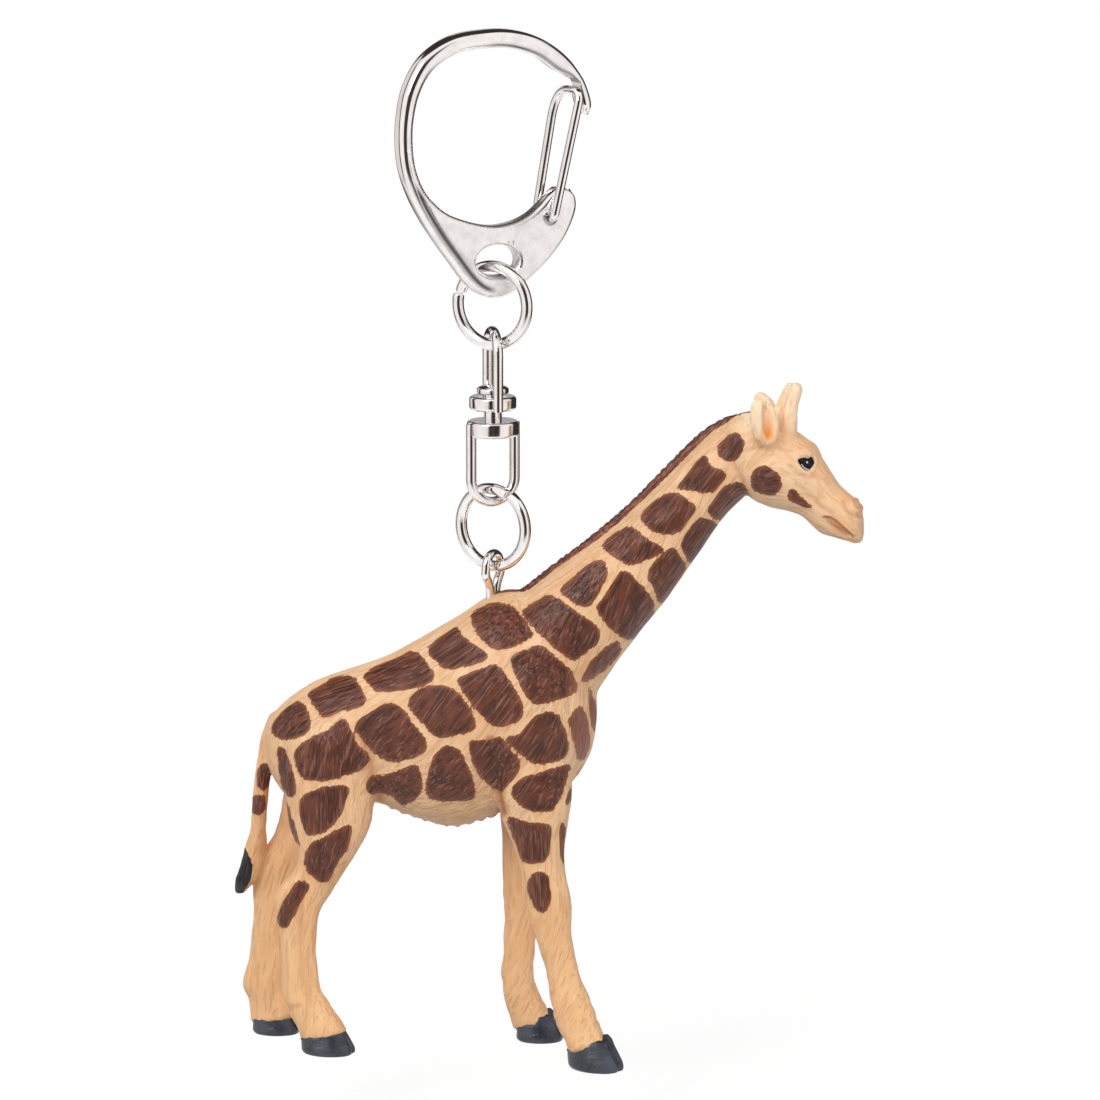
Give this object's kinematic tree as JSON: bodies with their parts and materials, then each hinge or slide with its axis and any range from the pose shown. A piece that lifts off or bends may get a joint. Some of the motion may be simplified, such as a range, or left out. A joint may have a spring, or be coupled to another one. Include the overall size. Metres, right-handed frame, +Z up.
{
  "type": "toy giraffe key ring",
  "caption": "Toy giraffe figure hanging from a swivel chain and a sprung snap hook, as a key ring or bag charm.",
  "frame": {"origin": "inside top of the snap hook's bow, where the key ring hangs", "axes": "+X the way the giraffe faces, +Y its left side, +Z up"},
  "size_m": [0.0797, 0.0187, 0.13],
  "materials": {
    "hook_body": "nickel-plated die casting, satin on the plate",
    "gate_wire": "bright nickel-plated spring wire",
    "upper_jump_ring": "bright nickel plate",
    "swivel_upper_yoke": "bright nickel plate",
    "swivel_rivet": "bright nickel plate",
    "swivel_lower_yoke": "bright nickel plate",
    "lower_jump_ring": "bright nickel plate",
    "eye_wire": "bright nickel-plated wire",
    "giraffe_figure": "peach PVC, painted with brown spots, dark hooves and a dark mane"
  },
  "bodies": {
    "hook": {"hook_body": "hook_body"},
    "gate": {"gate_wire": "gate_wire"},
    "upper_ring": {"upper_jump_ring": "upper_jump_ring"},
    "upper_swivel": {"swivel_upper_yoke": "swivel_upper_yoke"},
    "lower_swivel": {"swivel_lower_yoke": "swivel_lower_yoke", "swivel_rivet": "swivel_rivet"},
    "lower_ring": {"lower_jump_ring": "lower_jump_ring"},
    "figure": {"giraffe_figure": "giraffe_figure", "eye_wire": "eye_wire"}
  },
  "joints": [
    {"name": "gate_hinge", "type": "hinge", "parent": "hook", "child": "gate", "pos_m": [0.00592, 0.0043, -0.02084], "axis": [0.5878, -0.809, 0], "range_deg": [0, 25], "stiffness_Nm_per_rad": 0.006, "springref_deg": -20.05},
    {"name": "upper_ring_swing", "type": "hinge", "parent": "hook", "child": "upper_ring", "pos_m": [0, 0, -0.02935], "axis": [0.809, 0.5878, 0], "range_deg": [-45, 45]},
    {"name": "swivel_swing", "type": "hinge", "parent": "upper_ring", "child": "upper_swivel", "pos_m": [0, 0, -0.03687], "axis": [0.9397, -0.342, 0], "range_deg": [-60, 60]},
    {"name": "swivel_turn", "type": "hinge", "parent": "upper_swivel", "child": "lower_swivel", "pos_m": [0, 0, -0.0464], "axis": [0, 0, 1], "continuous": true},
    {"name": "lower_ring_swing", "type": "hinge", "parent": "lower_swivel", "child": "lower_ring", "pos_m": [0, 0, -0.05675], "axis": [0.809, 0.5878, 0], "range_deg": [-40, 40]},
    {"name": "figure_swing", "type": "hinge", "parent": "lower_ring", "child": "figure", "pos_m": [0, 0, -0.06488], "axis": [0.8988, -0.4384, 0], "range_deg": [-45, 45]}
  ]
}
